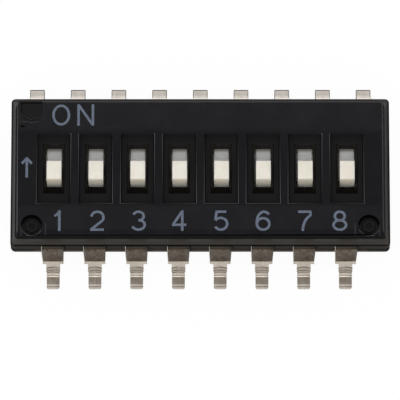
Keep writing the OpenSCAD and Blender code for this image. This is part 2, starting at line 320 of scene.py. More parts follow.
# %% Light
scene = bpy.context.scene
scene.view_settings.view_transform = "Standard"


def softbox(name, place, size, power):
    """A square lamp, in millimetres, turned to face the part."""
    bpy.ops.object.select_all(action="DESELECT")
    bpy.ops.object.light_add(type="AREA", location=[v * MM for v in place])
    lamp = bpy.context.object
    lamp.name = name
    lamp.data.shape, lamp.data.size, lamp.data.energy = "SQUARE", size * MM, power
    lamp.rotation_euler = (-lamp.location).to_track_quat("-Z", "Y").to_euler()
    print(f"{name} lamp: {size} mm wide, {lamp.location.length / MM:.0f} mm away")


softbox("front", (-10, -176, 243), 220, 0.31)
softbox("left", (-210, -30, 130), 120, 0.06)
softbox("back", (-20, 220, 110), 240, 0.06)
WORLD = 0.72  # how strongly the sky lights the part
world = bpy.data.worlds.new("studio")
scene.world = world
world.use_nodes = True

# %% [markdown]
# ## Finishes
#
# Every finish is worked out by nodes from the place on the piece, so there are no pictures
# to stretch. Node trees are easier to read as sums, so a small class wraps a socket: adding,
# multiplying or comparing two wrapped sockets adds the Math node that does it, | keeps the
# stronger of two masks and % repeats a place along a row. Colours are written as they look on
# a screen, and mix() turns them into light values.

# %% Colours and node arithmetic
def shown(red, green, blue):
    """A colour as it looks on a screen, 0 to 255, as light values."""
    def light(v):
        v = v / 255
        return v / 12.92 if v <= 0.04045 else ((v + 0.055) / 1.055) ** 2.4
    return (light(red), light(green), light(blue), 1.0)


class Wire:
    """A socket of a node tree that can stand in a Python expression."""

    def __init__(self, tree, socket):
        self.tree, self.socket = tree, socket

    def node(self, kind, settings=None, out=0, **values):
        """Add a node of a type: its settings first, then the values or links of its sockets."""
        made = self.tree.nodes.new(kind)
        for key, value in (settings or {}).items():
            setattr(made, key, value)
        for key, value in values.items():
            names = [s for s in made.inputs if s.enabled and s.name.replace(" ", "_") == key]
            target = names[0] if names else made.inputs[int(key[1:])]
            if isinstance(value, Wire):
                self.tree.links.new(value.socket, target)
            else:
                target.default_value = value
        outs = [s for s in made.outputs if s.enabled]
        return Wire(self.tree, outs[out])

    def sum(self, how, *others):
        """Add a Math node that does this to the wrapped value and the others."""
        values = {"_0": self}
        values.update({f"_{i + 1}": other for i, other in enumerate(others)})
        return self.node("ShaderNodeMath", {"operation": how}, **values)

    def __add__(self, other):
        return self.sum("ADD", other)

    def __sub__(self, other):
        return self.sum("SUBTRACT", other)

    def __rsub__(self, other):
        return (self * -1.0).sum("ADD", other)

    def __mul__(self, other):
        return self.sum("MULTIPLY", other)

    def __mod__(self, other):
        return self.sum("MODULO", other)

    def __or__(self, other):
        return self.sum("MAXIMUM", other)

    def __gt__(self, other):
        return self.sum("GREATER_THAN", other)

    def __lt__(self, other):
        return self.sum("LESS_THAN", other)

    def __abs__(self):
        return self.sum("ABSOLUTE")

    __radd__, __rmul__, __ror__ = __add__, __mul__, __or__

    def fade(self, start, end):
        """0 at start and 1 at end, with a soft change between them."""
        return self.node("ShaderNodeMapRange", {"interpolation_type": "SMOOTHSTEP"},
                         Value=self, From_Min=start, From_Max=end)

    def mix(self, low, high):
        """A colour that goes from low to high as this value goes from 0 to 1."""
        low, high = (shown(*end) if isinstance(end, tuple) else end for end in (low, high))
        return self.node("ShaderNodeMix", {"data_type": "RGBA"}, Factor=self, A=low, B=high)


# %% A finish
class Finish:
    """A material with one Principled shader, and the place on the piece in millimetres."""

    def __init__(self, name, **constants):
        self.material = bpy.data.materials.new(name)
        self.material.use_nodes = True
        self.tree = self.material.node_tree
        self.shader = self.tree.nodes["Principled BSDF"]
        for key, value in constants.items():
            self.shader.inputs[key.replace("_", " ")].default_value = value
        object_place = Wire(self.tree, None).node("ShaderNodeTexCoord", out=3)
        self.place = object_place.node("ShaderNodeVectorMath", {"operation": "SCALE"},
                                       Vector=object_place, Scale=1 / MM)
        split = self.place.node("ShaderNodeSeparateXYZ", Vector=self.place)
        self.x, self.y, self.z = (Wire(self.tree, s) for s in split.socket.node.outputs)
        self.rim = split.node("ShaderNodeAttribute", {"attribute_name": RIM}, out=2)

    def noise(self, scale, detail=3.0, stretch=(1, 1, 1)):
        """Cloudy noise with so many features to the millimetre, stretched along an axis."""
        place = self.place
        if stretch != (1, 1, 1):
            place = place.node("ShaderNodeVectorMath", {"operation": "MULTIPLY"}, _0=place, _1=stretch)
        return place.node("ShaderNodeTexNoise", Vector=place, Scale=scale, Detail=detail)

    def set(self, name, value):
        """Feed a socket of the shader."""
        self.tree.links.new(value.socket, self.shader.inputs[name])

    def bump(self, height, depth, strength):
        """Height from 0 to 1, raised by depth in millimetres."""
        self.set("Normal", height.node("ShaderNodeBump", Height=height, Distance=depth * MM,
                                       Strength=strength))

    def paint(self, obj):
        obj.data.materials.clear()
        obj.data.materials.append(self.material)


# %% Helpers that place a colour on a piece
def line(distance, half_width):
    """1 on a thin line where the distance is nought, fading to 0 at its edges."""
    return abs(distance).fade(half_width, half_width * 0.3)


def around(tone, colour, darker, lighter):
    """A colour that clouds by so many levels each way."""
    return tone.mix(tuple(v - darker for v in colour), tuple(v + lighter for v in colour))


def how_far(across, along):
    """The distance of a place from a centre, out of its two parts."""
    return (across * across + along * along).sum("SQRT")


def from_post(skin):
    return how_far(abs(skin.x) - POST_X, skin.y - POST_Y)


def off_middle(skin, left_end, pitch=PITCH):
    """How far a place is from the middle of the piece of the row that it is on."""
    return (skin.x + left_end) % pitch - pitch / 2


# %% [markdown]
# ## Moulded black plastic
#
# The cover and base are glass-filled black resin. Close up it isn't one black: the top was
# polished in the mould and looks darker, and the ledge round it keeps a fine matt skin that
# scatters more light. Faint clouding and a very fine grain break up both. An ejector mark
# leaves an arch round each recess, and handling has scratched the rear left corner. Each
# function below tints one part of the cover and hands the colour on to the next.

# %% What both black mouldings share
BLACK = (5, 5, 5)
PLATEAU_X, PLATEAU_Y = LENGTH / 2 - LEDGE_W, DEPTH / 2 - LEDGE_W
LEDGE_TINT_Z = LEDGE_Z + 0.03  # the ledge's tint ends here, just above it


def black_plastic(name, colour):
    skin = Finish(name, IOR=1.46, Specular_IOR_Level=0.04)
    clouds, grain = skin.noise(0.55, 4.0), skin.noise(9.0, 3.0)
    tone = clouds.fade(0.35, 0.7) * 0.5 + grain.fade(0.3, 0.75) * 0.5
    return skin, tone, grain, around(tone, colour, 3, 4)


# %% The ledge of the cover
def ledge_colour(skin, tone):
    """Painted light and shade: lightest inside the left end, dark at the outer ends and at the foot of the
    plateau, darker in front and behind.
    """
    from_left, from_right = skin.x + LENGTH / 2, LENGTH / 2 - skin.x
    from_front, from_rear = skin.y + DEPTH / 2, DEPTH / 2 - skin.y
    at_left = from_left < LEDGE_W + 0.1
    colour = around(tone, (79, 76, 76), 4, 5)
    # painted light on the left end, inside a painted dark outer edge
    left_end = from_left.fade(0.06, 0.21).mix((50, 48, 48), tone.mix((84, 81, 82), (94, 91, 92)))
    colour = at_left.mix(colour, left_end)
    # painted shade at the foot of the plateau on the left
    shaded_foot = from_left.fade(0.25, 0.275) * at_left * (abs(skin.y) < PLATEAU_Y - 0.125)
    colour = shaded_foot.mix(colour, (34, 33, 33))
    # painted shade, darkening the right end outwards
    colour = (from_right.fade(0.24, 0.08) * 0.7).mix(colour, BLACK)
    # painted shade along the front, darker towards its edge
    front_ledge_shade = from_front.fade(0.325, 0.175).mix((75, 74, 73), (61, 60, 59))
    colour = (from_front < LEDGE_W + 0.025).mix(colour, tone.mix(front_ledge_shade, (69, 68, 67)))
    # painted shade along the rear
    colour = (from_rear < 0.225).mix(colour, tone.mix((58, 57, 56), (66, 65, 64)))
    # painted reflection: the ledge is browner above each front lead
    lead_reflection = abs(off_middle(skin, ROW_LEFT)).fade(0.8, 0.3) * (from_front < LEDGE_W + 0.125)
    return lead_reflection.mix(colour, (65, 62, 58))


def on_ledge(skin):
    border = abs(skin.x) - (LENGTH - DEPTH) / 2 | abs(skin.y)
    return skin.z.fade(LEDGE_TINT_Z + 0.03, LEDGE_TINT_Z) * (border > PLATEAU_Y - 0.02)


# %% Scratches and ejector marks on the top of the cover
LEG_X, LEG_GAP = POST_X - 0.1, 0.74  # the middle between two legs, and how far each is from it
HAIRLINE_Y = (2.82, 2.92)
DENT_X, DENT_Y = -10.8, 2.72


def scratches(skin, depth):
    """Two legs from each recess to the front edge, and two hairlines behind the corner mark."""
    leg = line(abs(abs(skin.x) - LEG_X) - LEG_GAP, 0.035)
    legs = leg * skin.y.fade(-3.4, -3.7) * (depth < 0.045) * 0.6
    wander = skin.noise(2.6, 2.0, (1, 0.4, 1))
    hairlines = (line(skin.y - wander * 0.35 - HAIRLINE_Y[0], 0.02)
                 + line(skin.y - wander * 0.7 - HAIRLINE_Y[1], 0.018) * 0.7)
    patch = abs(skin.x - (MARK_X - 0.15)).fade(0.8, 0.4) * (depth < 0.145)
    return (legs + hairlines * patch * 0.8).sum("MINIMUM", 1.0)


def corner_mark_colour(skin, depth, colour):
    """The shallow mark at the rear left has a slightly darker floor and painted shadow along its left and
    rear edges, and a dent lies before it.
    """
    on_top = depth < 0.145
    floor = depth.fade(0.01, 0.04) * (skin.x < MARK_X + MARK_R + 0.3) * (skin.y > 2.9)
    dent = how_far((skin.x - DENT_X) * 0.45, skin.y - DENT_Y).fade(0.1, 0.05)
    # painted shadow along the left and rear walls of the mark
    left = line(skin.x - MARK_X + MARK_R, 0.06) * skin.y.fade(MARK_Y - 0.175, MARK_Y + 0.125) * 0.5
    rear = line(skin.y - PLATEAU_Y + 0.085, 0.07) * (abs(skin.x - MARK_X) < MARK_R)
    colour = (floor * on_top).mix(colour, (28, 28, 28))
    return ((dent | left | rear) * on_top).mix(colour, BLACK)


# %% Pockets, slots and recesses of the cover
def pocket_colour(skin, depth, inside, colour):
    """The floors are a flat black, with painted shade at the foot of the side walls and painted light on
    the rear wall.
    """
    off = abs(off_middle(skin, ROW_LEFT))
    sunk = depth.fade(0.1, 0.2)
    lit_rear_wall = skin.y.fade(POCKET_Y[1] - 0.03, POCKET_Y[1] - 0.005) * (skin.y < POCKET_Y[1] + 0.02)
    wall_foot_shade = off.fade(POCKET_W / 2 - 0.095, POCKET_W / 2 - 0.035) * (off < POCKET_W / 2 + 0.005)
    colour = (sunk * inside).mix(colour, (26, 26, 27))
    colour = (lit_rear_wall * depth.fade(0.005, 0.025) * inside).mix(colour, (36, 36, 37))
    return (wall_foot_shade * (abs(skin.y) < POCKET_Y[1]) * sunk * 0.75).mix(colour, BLACK)


def recess_colour(skin, depth, inside, colour):
    """A round recess is greyer than the top, with a black half ring of painted shadow behind its post."""
    reach = from_post(skin)
    recess = reach.fade(RECESS_R + 0.03, RECESS_R + 0.01) * depth.fade(0.005, 0.045)
    crescent_shadow = reach.fade(0.42, 0.62) * recess * skin.y.fade(POST_Y, POST_Y + 0.2)
    colour = (recess * inside).mix(colour, (32, 32, 33))
    return (crescent_shadow * inside).mix(colour, BLACK)


def slot_colour(skin, inside, colour):
    """Painted light bounced from the white sliders: deep in the slots the walls are a warm brown, and the
    lips beside the sliders lighter still.
    """
    deep = skin.z.fade(3.45, 3.2) * inside
    off = abs(off_middle(skin, ROW_LEFT))
    lips = off.fade(0.44, 0.5) * (off < SLOT_W / 2 + 0.02) * skin.y.fade(-0.95, -0.75) * deep
    return lips.mix(deep.mix(colour, (31, 28, 25)), (58, 54, 49))


def rim_colour(skin, colour):
    """Rims get a painted grey highlight, weaker at the left end; SHADED rims, and the front and right edges
    of the top, get painted shade.
    """
    painted_highlight, shaded = skin.rim | 0.0, skin.rim * -1.0 | 0.0
    front = skin.y.fade(-4.0, -4.2) * (from_post(skin) > RECESS_R + 0.07)
    kept_dark = front | (skin.x > PLATEAU_X - 0.025)
    at_left = skin.x < 0.1 - PLATEAU_X
    colour = (painted_highlight * (1.0 - kept_dark) * (1.0 - at_left * 0.15)).mix(colour, (82, 82, 84))
    return (shaded | painted_highlight * kept_dark * 0.6).mix(colour, BLACK)


# %% The whole cover
def cover_plastic():
    skin, tone, grain, top = black_plastic("black plastic, polished top", (32, 32, 34))
    depth = FACE_Z - skin.z
    inside = (abs(skin.x).fade(PLATEAU_X - 0.05, PLATEAU_X - 0.1)
              * abs(skin.y).fade(PLATEAU_Y - 0.007, PLATEAU_Y - 0.02))
    # painted shade: the top is darker from the pockets forward, less so in a band across the numbers
    numbers = skin.y.fade(-2.3, -2.5) * skin.y.fade(-4.0, -3.85)
    polished_and_shaded = skin.y.fade(2.7, 2.2) * (1.0 - numbers * 0.7)
    colour = polished_and_shaded.mix(top, tone.mix((23, 23, 25), (29, 29, 31)))
    colour = pocket_colour(skin, depth, inside, colour)
    colour = recess_colour(skin, depth, inside, colour)
    colour = corner_mark_colour(skin, depth, colour)
    ledge = on_ledge(skin)
    colour = ledge.mix(colour, ledge_colour(skin, tone))
    # painted shade on the wall that rises from the ledge to the top
    riser = skin.z.fade(LEDGE_TINT_Z, LEDGE_TINT_Z + 0.05) * depth.fade(0.015, 0.065) * (1.0 - inside)
    colour = slot_colour(skin, inside, riser.mix(colour, (25, 24, 23)))
    # painted shade: the cover's side below the ledge is black
    side = skin.z.fade(LEDGE_Z - 0.02, LEDGE_Z - 0.06) * (1.0 - inside)
    colour = rim_colour(skin, side.mix(colour, BLACK))
    marks = scratches(skin, depth)
    skin.set("Base Color", marks.mix(colour, (68, 68, 70)))
    skin.set("Roughness", 0.46 + ledge * 0.14 + tone * 0.08)
    skin.bump(grain * 0.7 + marks * 0.9, 0.006, 0.5)
    return skin


# %% [markdown]
# Only a strip of the base shows, below the parting line. It is the same resin without the
# polish. Below a fine groove it is browner, and lighter between the front leads. The
# groove and the part hidden under the cover get painted shade.

# %% The base
def base_plastic():
    skin, tone, grain, top = black_plastic("black plastic, matt", (40, 38, 36))
    foot = skin.z.fade(2.45, 2.38)
    groove, hidden = line(skin.z - sum(GROOVE_Z) / 2, 0.09), skin.z.fade(SEAM_Z + 0.03, SEAM_Z + 0.1)
    between_leads = abs(skin.x).fade(10.2, 9.9) * (skin.y < -4.0)
    rim = between_leads.mix(tone.mix((35, 32, 30), (49, 45, 41)), tone.mix((56, 50, 44), (74, 67, 59)))
    # painted shade: the groove and the part hidden under the cover are nearly black
    colour = (groove | hidden).mix(foot.mix(top, rim), (12, 12, 12))
    # the heads of the posts show in the recesses
    head = line(from_post(skin) - 0.3, 0.1).mix((22, 22, 23), (32, 32, 33))
    skin.set("Base Color", skin.z.fade(3.3, 3.35).mix(colour, head))
    skin.set("Roughness", 0.55 + tone * 0.1)
    skin.bump(grain, 0.006, 0.5)
    return skin


# %% [markdown]
# ## White sliders
#
# The sliders are a warm white resin that lets a little light in, so their edges glow. The
# front of a knob gets painted light, brighter and warmer towards its foot, under a band of
# painted shade at its top edge. The low plate behind the knob has painted light near the
# knob and a painted shadow along its rear edge.

# %% White resin
def slider_plastic():
    skin = Finish("warm white resin", IOR=1.5, Subsurface_Weight=0.5, Subsurface_Scale=0.0006)
    skin.shader.inputs["Subsurface Radius"].default_value = (1.0, 1.0, 1.0)
    grain, clouds = skin.noise(6.0, 3.0), skin.noise(1.2, 3.0)
    resin = clouds.fade(0.3, 0.7).mix((225, 219, 206), (232, 227, 215))
    # painted light: the front of the knob is brighter and warmer towards its foot
    front = skin.z.fade(KNOB_Z - 0.03, KNOB_Z - 0.1) * skin.y.fade(KNOB_Y[0] + 0.03, KNOB_Y[0] + 0.01)
    resin = front.mix(resin, skin.z.fade(3.5, 3.0).mix((250, 234, 212), (255, 246, 229)))
    # painted shade in a band under the knob's top edge
    front_edge_shade = skin.z.fade(KNOB_Z - 0.06, KNOB_Z - 0.02) * skin.y.fade(KNOB_Y[0] + 0.1, KNOB_Y[0] + 0.02)
    resin = front_edge_shade.mix(resin, (203, 196, 184))
    # painted light on the plate near the knob, and painted shadow along its rear edge
    plate_light_and_shade = skin.y.fade(SLOT_Y[1], 1.4).mix((150, 146, 138), (255, 255, 253))
    skin.set("Base Color", skin.z.fade(STEM_Z + 0.07, STEM_Z + 0.02).mix(resin, plate_light_and_shade))
    skin.set("Roughness", 0.42 + grain * 0.12)
    skin.bump(grain, 0.006, 0.35)
    return skin


# %% [markdown]
# ## Tinned leads and gilt bridges
#
# The leads are stamped from tinned brass strip. Drawing left fine lines along it, and each bend
# has crossways marks from the forming tool. Reflection and shade are painted on: the upright
# shoulders are darker than the feet, and the front leads dimmer than the rear ones. All of it
# depends on how far a place is from the middle of the part, which is called run here, and on
# how far it is from the middle of its own lead.

# %% Marks of the forming tool, and bands of painted shade
UPPER_MARKS = ((5.235, 0.04), (5.38, 0.035), (5.475, 0.035))  # run and half width of each line
LOWER_MARKS = (5.64, 6.33)


def band(run, start, end, soft):
    """1 between two places along a lead, with soft ends."""
    return run.fade(start, start + soft) * run.fade(end, end - soft)


def forming_marks(run, off, in_front, mottle):
    """Fine lines across the strip; those at the upper bend bow outwards."""
    bowed = run - off * off * 0.35
    upper = sum(line(bowed - place, half) for place, half in UPPER_MARKS)
    lower = sum(line(run - place, 0.03) * 0.8 for place in LOWER_MARKS)
    return (upper * mottle.fade(0.25, 0.6) + lower) * (in_front * 0.7 + 0.3)


def rubbed_bands(run, in_front):
    """Bands of painted shade: two on a front lead and a faint one behind."""
    front = band(run, 5.24, 5.53, 0.035) * 0.6 + band(run, 5.72, 6.21, 0.045)
    return front * in_front + band(run, 6.02, 6.34, 0.08) * (1.0 - in_front) * 0.35


# %% Tin on the slopes, feet and shoulders, with painted reflection and shade
def bright_tin(run, in_front, tone):
    """Painted reflection: the rear leads are brightest, and a front one is dimmer at its slope and its tip.
    """
    rear, foot = tone.mix((227, 219, 209), (245, 239, 231)), tone.mix((206, 196, 184), (225, 217, 206))
    slope, tip = tone.mix((190, 180, 167), (209, 200, 188)), tone.mix((176, 168, 158), (198, 190, 181))
    bright = in_front.mix(rear, foot)
    bright = (run.fade(5.78, 5.72) * in_front).mix(bright, slope)
    return (run.fade(6.3, 6.36) * in_front).mix(bright, tip)


def dull_tin(skin, run, tone):
    """The shoulders are pitted, with painted dark reflection over them and painted shade where they leave
    the housing.
    """
    pits = skin.noise(5.5, 3.0, (1, 1, 0.6)).fade(0.36, 0.64)
    pitted_shade = (tone * 0.5 + pits * 0.5).mix((62, 55, 47), (120, 110, 98))
    return (run.fade(4.92, 4.87) * skin.z.fade(2.86, 2.92)).mix(pitted_shade, (52, 47, 42))


def tinned_strip():
    skin = Finish("tinned strip", Metallic=1.0)
    drawn, mottle = skin.noise(5.0, 4.0, (4.5, 0.35, 0.35)), skin.noise(2.2, 4.0)
    tone = drawn.fade(0.3, 0.75) * 0.55 + mottle.fade(0.3, 0.7) * 0.45
    run, in_front = abs(skin.y), skin.y < 0.0
    off = off_middle(skin, ROW_LEFT - FRONT_SHIFT)
    upright = run.fade(4.58, 4.62) * skin.z.fade(KNEE_Z - 0.02, KNEE_Z + 0.03) * in_front
    marks = forming_marks(run, off, in_front, mottle)
    bright = bright_tin(run, in_front, tone)
    # painted shade on the slope and foot of a front lead, and faintly on the foot of a rear one
    colour = rubbed_bands(run, in_front).mix(bright, tone.mix((145, 135, 123), (175, 165, 155)))
    colour = marks.sum("MINIMUM", 1.0).mix(colour, (104, 94, 84))
    # painted dark reflection and shade on the upright shoulders
    colour = upright.mix(colour, dull_tin(skin, run, tone))
    # painted highlight on the shoulder's left edge, and painted shade on the right one
    half = (skin.z - KNEE_Z) * 0.023 + 0.6
    colour = ((off * -1.0 - half).fade(0.0, 0.02) * upright).mix(colour, bright)
    colour = ((off - half).fade(0.0, 0.03) * upright).mix(colour, (62, 56, 49))
    # painted shade along the edges of the rear feet
    off_rear = abs(off_middle(skin, REAR_LEFT, REAR_PITCH))
    edges = off_rear.fade(0.395, 0.42) | run.fade(6.36, 6.385)
    rear_edge_shade = edges * (1.0 - in_front) * skin.z.fade(1.2, 1.0)
    skin.set("Base Color", rear_edge_shade.mix(colour, (110, 103, 97)))
    skin.set("Roughness", 0.3 + tone * 0.14 + upright * 0.1)
    skin.bump(drawn * 0.5 + mottle * 0.3 - marks * 0.8, 0.008, 0.6)
    return skin


# %% Gold and ink
def gilt():
    skin = Finish("gilt spring strip", Metallic=1.0)
    drawn = skin.noise(6.0, 3.0, (4.0, 0.3, 0.3))
    skin.set("Base Color", drawn.mix((205, 164, 84), (232, 196, 116)))
    skin.set("Roughness", 0.24 + drawn * 0.12)
    skin.bump(drawn, 0.004, 0.5)
    return skin


def pad_ink():
    skin = Finish("blue-grey ink", IOR=1.4)
    speckle = skin.noise(11.0, 3.0)
    skin.set("Base Color", speckle.fade(0.3, 0.7).mix((81, 90, 106), (101, 110, 125)))
    skin.set("Roughness", 0.6 + speckle * 0.1)
    skin.bump(speckle, 0.004, 0.4)
    return skin


top_plastic, low_plastic = cover_plastic(), base_plastic()
white, tin, gold, ink = slider_plastic(), tinned_strip(), gilt(), pad_ink()
for finish in (top_plastic, low_plastic, white, tin, gold, ink):
    print(f"{finish.material.name}: {len(finish.tree.nodes)} nodes")

# %% [markdown]
# ## Floor and sky
#
# A part laid on white paper under broad lamps has hardly any shadow. A plain white floor
# would go grey under the part, so the sheet shows most of its white by itself, but only to
# the camera, and the light that it throws back on the part stays that of real paper. The sky
# is full white to the camera too, and dimmer as a lamp.

# %% Floor and world
SELF_WHITE = 0.95  # how much of its white the floor shows by itself, so that shadows stay faint
paper = Finish("pale paper floor", Roughness=1.0, IOR=1.0)
paper.set("Base Color", paper.noise(0.4, 3.0).mix((250, 250, 249), (254, 254, 254)))
glow = paper.place.node("ShaderNodeEmission")
seen = paper.place.node("ShaderNodeLightPath")
lit = Wire(paper.tree, paper.shader.outputs["BSDF"])
blend = glow.node("ShaderNodeMixShader", Fac=seen * SELF_WHITE, _1=lit, _2=glow)
paper.tree.links.new(blend.socket, paper.tree.nodes["Material Output"].inputs["Surface"])
bpy.ops.object.select_all(action="DESELECT")
bpy.ops.mesh.primitive_plane_add(size=0.6, location=(0, 0, 0))
floor = bpy.context.object
floor.name = "floor"
paper.paint(floor)
floor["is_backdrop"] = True

sky = world.node_tree
seen = Wire(sky, None).node("ShaderNodeLightPath")
strength = seen * (1.0 - WORLD) + WORLD
sky.links.new(strength.socket, sky.nodes["Background"].inputs["Strength"])
sky.nodes["Background"].inputs["Color"].default_value = (1.0, 1.0, 1.0, 1.0)
print("floor shows its own white by", SELF_WHITE, "and the sky lights with", WORLD)

# %% [markdown]
# ## The cover
#
# The cover is one black moulding: a raised plateau with a narrow ledge all round, eight
# sunken pockets with a slot in each, and a plug below that holds the sliders down. The ledge
# and plateau come out of a block by an inset and an extrusion. The openings could be made
# the same way, but a slot goes right through, so tools are cut out of the block instead, as
# the steel of the mould would leave them. One tool is made for each kind of opening and an
# Array repeats it along the row.

# %% Ledge and plateau
CORNER_R, PLATEAU_R = 0.22, 0.16  # upright corners of the ledge and of the plateau
DRAFT = (PLATEAU_X + 0.12) / PLATEAU_X  # the plateau's ends lean in
GAP_Z, GAP = (SEAM_Z - 0.5, SEAM_Z + 0.06), 0.06  # parting groove under the cover's edge

cover = block("cover_shell", (-LENGTH / 2, -DEPTH / 2, SEAM_Z), (LENGTH / 2, DEPTH / 2, LEDGE_Z))
with editing(cover):
    pick_faces(cover, lambda c, n: n.z > 0.9)
    bpy.ops.mesh.inset(thickness=LEDGE_W * MM, depth=0)
    bpy.ops.transform.resize(value=(DRAFT, 1, 1))
    extrude(z=FACE_Z - LEDGE_Z)
    bpy.ops.transform.resize(value=(1 / DRAFT, 1, 1))
    at_corner = lambda a, b: near(a.y, b.y) and not near(a.z, b.z) and abs(a.x - b.x) < 0.2
    pick_edges(cover, lambda a, b: at_corner(a, b) and min(a.z, b.z) < LEDGE_Z - 0.01)
    bevel(CORNER_R, 6)
    pick_edges(cover, lambda a, b: at_corner(a, b) and max(a.z, b.z) > LEDGE_Z + 0.01)
    bevel(PLATEAU_R, 4)


def ring(name, low, high, depth):
    """A tool that cuts a groove all round the housing."""
    x, y = LENGTH / 2, DEPTH / 2
    outer = block(name, (-x - 1, -y - 1, low), (x + 1, y + 1, high))
    core = block("core", (depth - x, depth - y, low - 1), (x - depth, y - depth, high + 1))
    return combine(outer, core, "DIFFERENCE")


combine(cover, ring("parting groove", *GAP_Z, GAP), "DIFFERENCE")
report(cover)

# %% Plug, rails and stop blocks on the underside
PLUG_X, PLUG_Y, PLUG_Z = 9.74, 3.195, 2.65
RAIL_X, RAIL_W, RAIL_Z = 0.68, 0.34, 2.15
RAIL_Y = (-0.25, PLUG_Y)
STOP_X, STOP_Y, STOP_Z = 0.85, (-1.52, -0.3), 1.35
LIP_TOP = 2.75  # the lips at the foot of each slot

combine(cover, block("plug", (-PLUG_X, -PLUG_Y, PLUG_Z), (PLUG_X, PLUG_Y, SEAM_Z + 0.1)), "UNION")
for side in (-1, 1):
    x = FIRST_X + side * RAIL_X
    rail = block("rail", (x - RAIL_W / 2, RAIL_Y[0], RAIL_Z), (x + RAIL_W / 2, RAIL_Y[1], LIP_TOP))
    combine(cover, in_row(rail), "UNION")
stop = block("stop", (FIRST_X - STOP_X, STOP_Y[0], STOP_Z), (FIRST_X + STOP_X, STOP_Y[1], LIP_TOP))
combine(cover, in_row(stop), "UNION")
report(cover)

# %% Pockets, slots and the guides at their feet
POCKET_EDGE_Z, SLOT_RIM_Z = 3.58, 3.52  # a pocket's floor dips towards its slot
GUIDE_X, GUIDE_Z = 0.51, 2.38


def opening(name, half_w, y, low, high=TOP):
    return block(name, (FIRST_X - half_w, y[0], low), (FIRST_X + half_w, y[1], high))


pocket = opening("pocket", POCKET_W / 2, POCKET_Y, POCKET_EDGE_Z, TOP + 1)
with editing(pocket):
    middle = sum(SLOT_Y) / 2
    shrink = (SLOT_W / POCKET_W, (SLOT_Y[1] - SLOT_Y[0]) / (POCKET_Y[1] - POCKET_Y[0]), 1)
    pick_faces(pocket, lambda c, n: n.z < -0.9)
    extrude(y=middle - sum(POCKET_Y) / 2, z=SLOT_RIM_Z - POCKET_EDGE_Z)
    bpy.ops.transform.resize(value=shrink, center_override=(FIRST_X * MM, middle * MM, 0))
slot = opening("slot", SLOT_W / 2, SLOT_Y, LIP_TOP)
guide = opening("guide", GUIDE_X, SLOT_Y, GUIDE_Z)
for tool in (pocket, slot, guide):
    combine(cover, in_row(tool), "DIFFERENCE")
report(cover)

# %% Round recesses, holes for the posts and pegs, and the corner mark
POST_R = 0.385
PEG_X, PEG_Y, PEG_R = 10.4, 2.595, 0.3
RECESS_Z = 3.5
MARK_Z = FACE_Z - 0.06
HOLE_GAP = 0.015  # between a post or peg and its hole

for name, x, y, r, low, high in (
        ("recess", POST_X, POST_Y, RECESS_R, RECESS_Z, TOP + 1),
        ("post hole", POST_X, POST_Y, POST_R + HOLE_GAP, SEAM_Z - 1, TOP),
        ("peg hole", PEG_X, PEG_Y, PEG_R + HOLE_GAP, SEAM_Z - 1, SEAM_Z + 0.515)):
    combine(cover, mirror_x(rod(name, x, y, r, low, high)), "DIFFERENCE")
mark = rod("mark", MARK_X, MARK_Y, MARK_R, MARK_Z, TOP + 1)
back = block("mark back", (MARK_X - MARK_R, MARK_Y, MARK_Z), (MARK_X + MARK_R, DEPTH / 2, TOP + 1))
combine(cover, combine(mark, back, "UNION"), "DIFFERENCE")
report(cover)

# %% [markdown]
# No moulded edge is truly sharp. A rim that catches the light is what tells the eye that a
# black part has depth, so the rims that show are bevelled by a few hundredths of a
# millimetre. Some of them also get a painted grey highlight, and each rim below says how
# bright. The edge of the ledge is the parting line of the mould; its front and ends get painted shade.

# %% Tell the rims of the cover apart
NEAR_CORNER = 0.3


def on_outline(p, inset, slack=0.02):
    """Is a point on the outline of the housing, drawn in by inset?"""
    x, y = LENGTH / 2 - inset, DEPTH / 2 - inset
    at_corner = abs(p.x) > x - NEAR_CORNER and abs(p.y) > y - NEAR_CORNER
    return at_corner or abs(p.x) > x - slack or abs(p.y) > y - slack


def outlines(a, b, inset):
    return on_outline(a, inset) and on_outline(b, inset)


def both_at(a, b, y):
    return near(a.y, y) and near(b.y, y)


def off_switch(p):
    """How far to the right of the nearest switch's middle a point is."""
    return (p.x - FIRST_X + PITCH / 2) % PITCH - PITCH / 2


def beside_slot(p):
    return abs(off_switch(p)) < SLOT_W / 2 + 0.02


def side_of_pocket(a, b, side):
    """Does an edge lie along the left (-1) or right (1) rim of a pocket?"""
    at_side = near(a.x, b.x) and near(off_switch(a), side * POCKET_W / 2)
    return at_side and abs(a.y) < POCKET_Y[1] + 0.01


def round_post(p, radius, slack):
    return near(math.hypot(abs(p.x) - POST_X, p.y - POST_Y), radius, slack)


def on_recess(a, b):
    return round_post(a, RECESS_R, 0.06) and round_post(b, RECESS_R, 0.06)


def in_mark(p):
    return p.x < MARK_X + MARK_R + 0.02 and p.y > MARK_Y - MARK_R - 0.02


